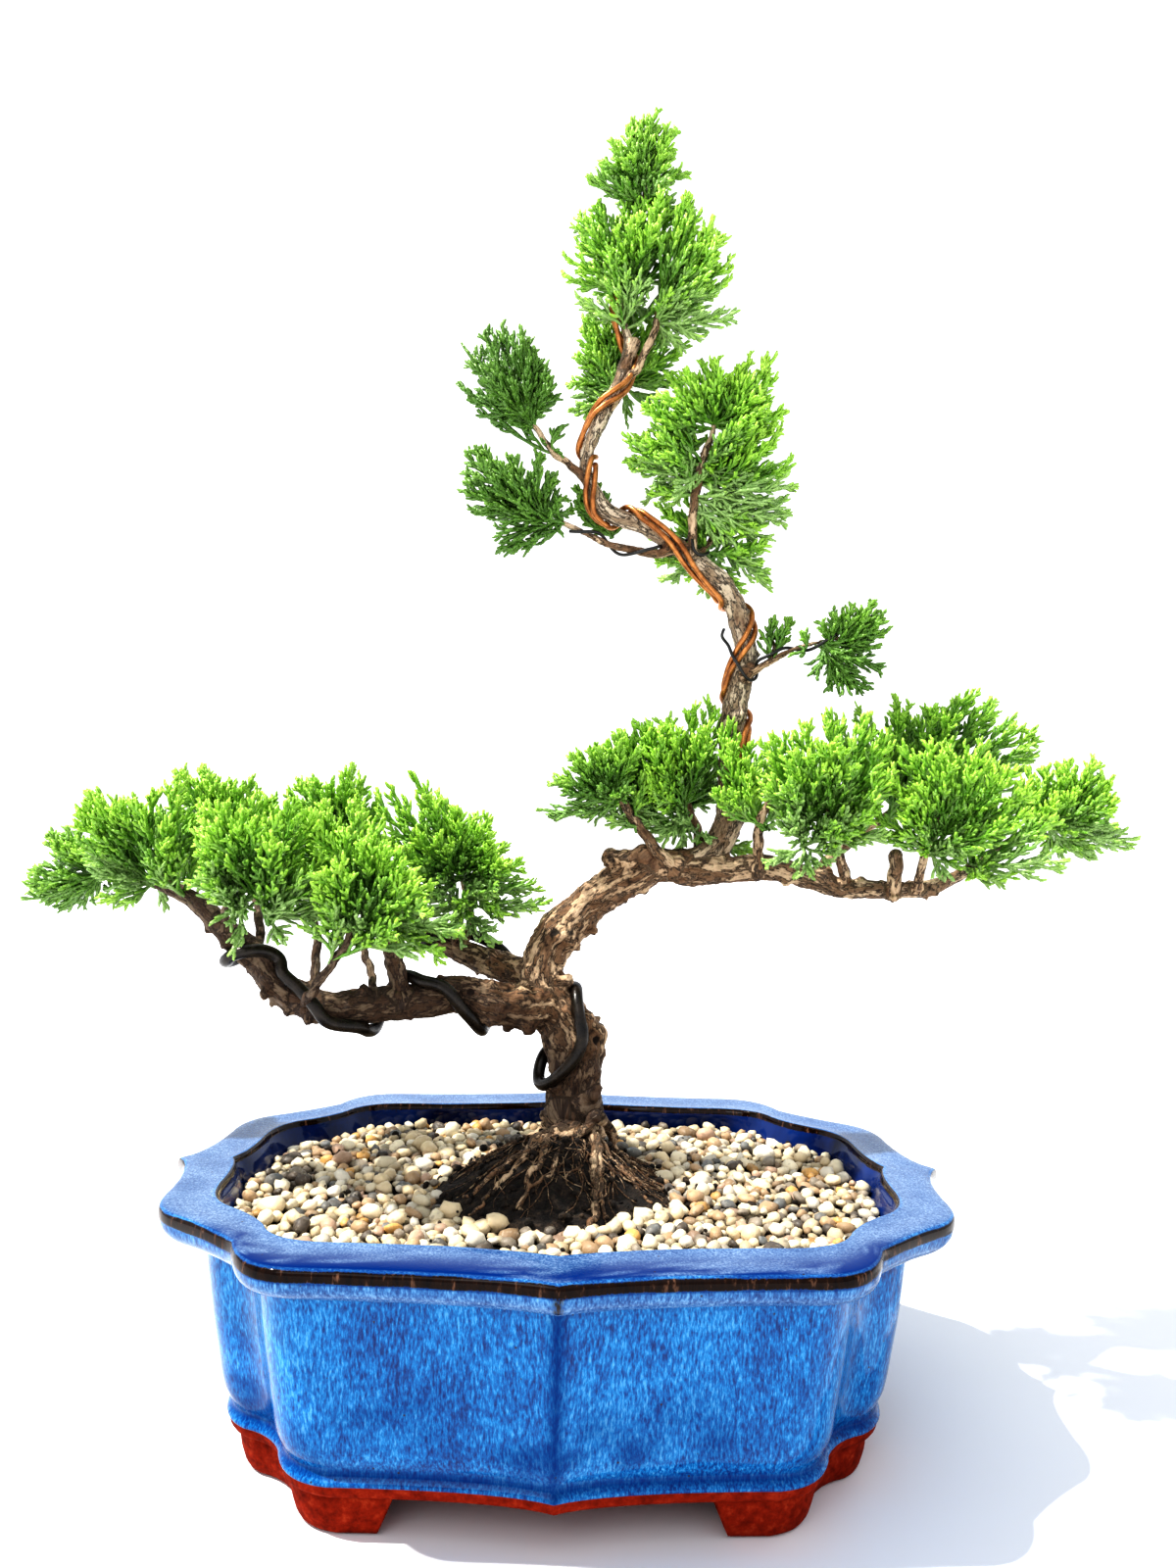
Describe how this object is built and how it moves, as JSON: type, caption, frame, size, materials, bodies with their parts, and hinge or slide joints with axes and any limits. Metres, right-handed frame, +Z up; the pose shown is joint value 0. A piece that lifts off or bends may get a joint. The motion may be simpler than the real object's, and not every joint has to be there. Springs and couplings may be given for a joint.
{
  "type": "shimpaku juniper bonsai",
  "caption": "Trained juniper bonsai with three tiers of scale foliage, wound with wire, growing in a lobed glazed pot with a gravel top dressing.",
  "frame": {"origin": "on the ground under the middle of the pot, which is the middle of the whole object's box at its lowest point", "axes": "+Z up along the trunk, +X to the viewer's right along the pot's long side, +Y away from the viewer"},
  "size_m": [0.3006, 0.166, 0.3568],
  "materials": {
    "glaze": "glossy mottled blue glaze over red clay",
    "screen": "matt black mesh",
    "soil": "crumbly dark organic mix",
    "gravel": "rounded cream, tan and grey pebbles",
    "bark": "rough flaking bark",
    "foliage": "scaly cord-like shoots with bright tips",
    "dark_wire": "dark brown anodised, satin",
    "copper_wire": "copper-coloured anodised, satin",
    "black_wire": "thin black coated wire"
  },
  "bodies": {
    "root": {"pot": "glaze", "drain_screen_left": "screen", "drain_screen_right": "screen", "soil": "soil", "gravel": "gravel", "tree_wood": "bark", "wire_dark_lower": "dark_wire", "wire_dark_back": "dark_wire", "wire_copper_first": "copper_wire", "wire_copper_second": "copper_wire", "wire_black_sprig": "black_wire", "wire_black_twig": "black_wire", "foliage_left_tip": "foliage", "foliage_left_outer": "foliage", "foliage_left_rear": "foliage", "foliage_left_front": "foliage", "foliage_left_middle": "foliage", "foliage_left_back": "foliage", "foliage_left_inner": "foliage", "foliage_right_fan": "foliage", "foliage_right_inner": "foliage", "foliage_right_front": "foliage", "foliage_right_back": "foliage", "foliage_right_outer": "foliage", "foliage_right_tip": "foliage", "foliage_sprig": "foliage", "foliage_crown_right_upper": "foliage", "foliage_crown_right_lower": "foliage", "foliage_crown_back": "foliage", "foliage_apex_lower": "foliage", "foliage_apex_tip": "foliage", "foliage_crown_left_upper": "foliage", "foliage_crown_left_lower": "foliage"}
  },
  "joints": []
}
